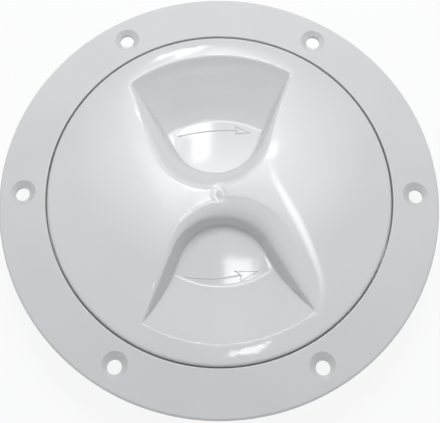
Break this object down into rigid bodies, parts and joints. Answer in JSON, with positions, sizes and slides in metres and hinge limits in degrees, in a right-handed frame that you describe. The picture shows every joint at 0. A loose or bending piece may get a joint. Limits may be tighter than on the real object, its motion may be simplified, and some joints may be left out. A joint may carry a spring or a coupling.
{
  "type": "deck inspection plate",
  "caption": "Round screw-in deck inspection plate: a countersunk flange ring with a collar, closed by a threaded lid with tapered finger wells and an O-ring.",
  "frame": {"origin": "on the axis of the lid, in the plane of the flange's underside, where it lies on the deck", "axes": "+Z along the axis, up out of the deck; +X through one of the screw holes; the finger wells lie along a line 5 degrees anticlockwise of the Y axis"},
  "size_m": [0.145, 0.145, 0.0245],
  "materials": {
    "white_plastic": "glossy white injection-moulded plastic",
    "seal_rubber": "matt black nitrile rubber"
  },
  "bodies": {
    "deck_ring": {"deck_ring": "white_plastic"},
    "o_ring": {"o_ring": "seal_rubber"},
    "lid": {"lid": "white_plastic"}
  },
  "joints": [
    {"name": "lid_lift", "type": "slide", "parent": "deck_ring", "child": "o_ring", "axis": [0, 0, 1], "range_m": [0, 0.0113]},
    {"name": "lid_turn", "type": "hinge", "parent": "o_ring", "child": "lid", "pos_m": [0, 0, 0], "axis": [0, 0, 1], "range_deg": [0, 900]}
  ],
  "couplings": [
    {"joint": "lid_lift", "follows": "lid_turn", "m_per_rad": 0.0007162}
  ]
}
